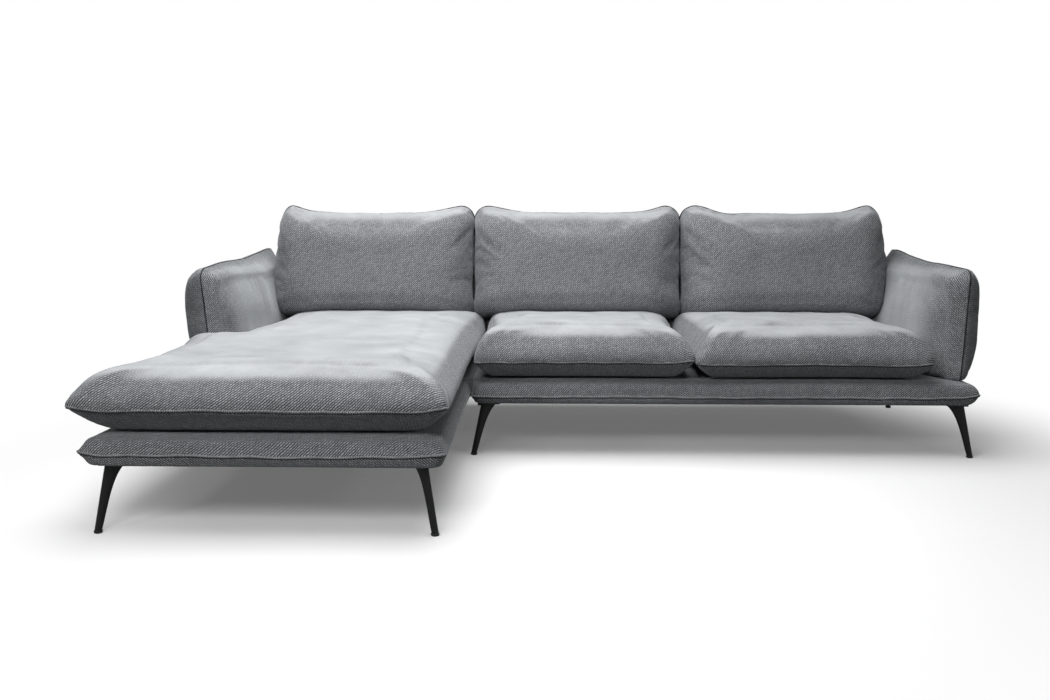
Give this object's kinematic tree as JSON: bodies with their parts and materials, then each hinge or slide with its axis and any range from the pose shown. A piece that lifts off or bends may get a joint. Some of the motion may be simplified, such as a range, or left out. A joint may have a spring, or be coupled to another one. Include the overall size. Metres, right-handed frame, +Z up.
{
  "type": "corner sofa",
  "caption": "Upholstered corner sofa with a chaise end, loose knife-edge seat and back cushions, low padded arms, a slim base and splayed black metal legs.",
  "frame": {"origin": "on the floor, under the middle of the whole sofa's box", "axes": "+X along the back towards the two-seater, +Y to the back, +Z up"},
  "size_m": [2.7439, 1.81, 0.8525],
  "materials": {
    "upholstery": "matte",
    "foam": "matte",
    "timber": "matte",
    "leg_metal": "satin",
    "glide_plastic": "matte",
    "webbing": "matte",
    "felt": "matte",
    "dust_cloth": "matte",
    "plated_steel": "satin"
  },
  "bodies": {
    "chaise_frame": {"chaise_arm_cover": "upholstery", "chaise_arm_frame": "timber", "chaise_back_cover": "upholstery", "chaise_back_frame": "timber", "chaise_back_webbing": "webbing", "chaise_base_cover": "upholstery", "chaise_corner_blocks": "timber", "chaise_cross_rails": "timber", "chaise_deck_felt": "felt", "chaise_dust_cover": "dust_cloth", "chaise_frame_bolts": "plated_steel", "chaise_front_rail": "timber", "chaise_left_rail": "timber", "chaise_leg_front_left": "leg_metal", "chaise_leg_front_right": "leg_metal", "chaise_leg_glides": "glide_plastic", "chaise_leg_rear_left": "leg_metal", "chaise_leg_rear_right": "leg_metal", "chaise_rear_rail": "timber", "chaise_right_rail": "timber", "chaise_seat_straps": "webbing", "chaise_wood_screws": "plated_steel", "connector_hooks": "plated_steel"},
    "two_seater_frame": {"connector_receivers": "plated_steel", "two_seater_arm_cover": "upholstery", "two_seater_arm_frame": "timber", "two_seater_back_cover": "upholstery", "two_seater_back_frame": "timber", "two_seater_back_webbing": "webbing", "two_seater_base_cover": "upholstery", "two_seater_corner_blocks": "timber", "two_seater_cross_rails": "timber", "two_seater_deck_felt": "felt", "two_seater_dust_cover": "dust_cloth", "two_seater_frame_bolts": "plated_steel", "two_seater_front_rail": "timber", "two_seater_left_rail": "timber", "two_seater_leg_front_left": "leg_metal", "two_seater_leg_front_right": "leg_metal", "two_seater_leg_glides": "glide_plastic", "two_seater_leg_rear_left": "leg_metal", "two_seater_leg_rear_right": "leg_metal", "two_seater_rear_rail": "timber", "two_seater_right_rail": "timber", "two_seater_seat_straps": "webbing", "two_seater_wood_screws": "plated_steel"},
    "chaise_seat": {"chaise_seat_cover": "upholstery", "chaise_seat_core": "foam"},
    "chaise_back_cushion": {"chaise_back_cushion_cover": "upholstery", "chaise_back_cushion_core": "foam"},
    "left_seat": {"left_seat_cover": "upholstery", "left_seat_core": "foam"},
    "left_back_cushion": {"left_back_cushion_cover": "upholstery", "left_back_cushion_core": "foam"},
    "right_seat": {"right_seat_cover": "upholstery", "right_seat_core": "foam"},
    "right_back_cushion": {"right_back_cushion_cover": "upholstery", "right_back_cushion_core": "foam"}
  },
  "joints": [
    {"name": "two_seater_unhook", "type": "slide", "parent": "chaise_frame", "child": "two_seater_frame", "axis": [0, 0, 1], "range_m": [0, 0.04]},
    {"name": "chaise_seat_pull", "type": "slide", "parent": "chaise_frame", "child": "chaise_seat", "axis": [0, -1, 0], "range_m": [0, 0.3]},
    {"name": "left_seat_pull", "type": "slide", "parent": "two_seater_frame", "child": "left_seat", "axis": [0, -1, 0], "range_m": [0, 0.3]},
    {"name": "right_seat_pull", "type": "slide", "parent": "two_seater_frame", "child": "right_seat", "axis": [0, -1, 0], "range_m": [0, 0.3]},
    {"name": "chaise_back_cushion_lift", "type": "slide", "parent": "chaise_seat", "child": "chaise_back_cushion", "axis": [0, 0.2079, 0.9781], "range_m": [0, 0.45]},
    {"name": "left_back_cushion_lift", "type": "slide", "parent": "left_seat", "child": "left_back_cushion", "axis": [0, 0.2079, 0.9781], "range_m": [0, 0.45]},
    {"name": "right_back_cushion_lift", "type": "slide", "parent": "right_seat", "child": "right_back_cushion", "axis": [0, 0.2079, 0.9781], "range_m": [0, 0.45]}
  ]
}
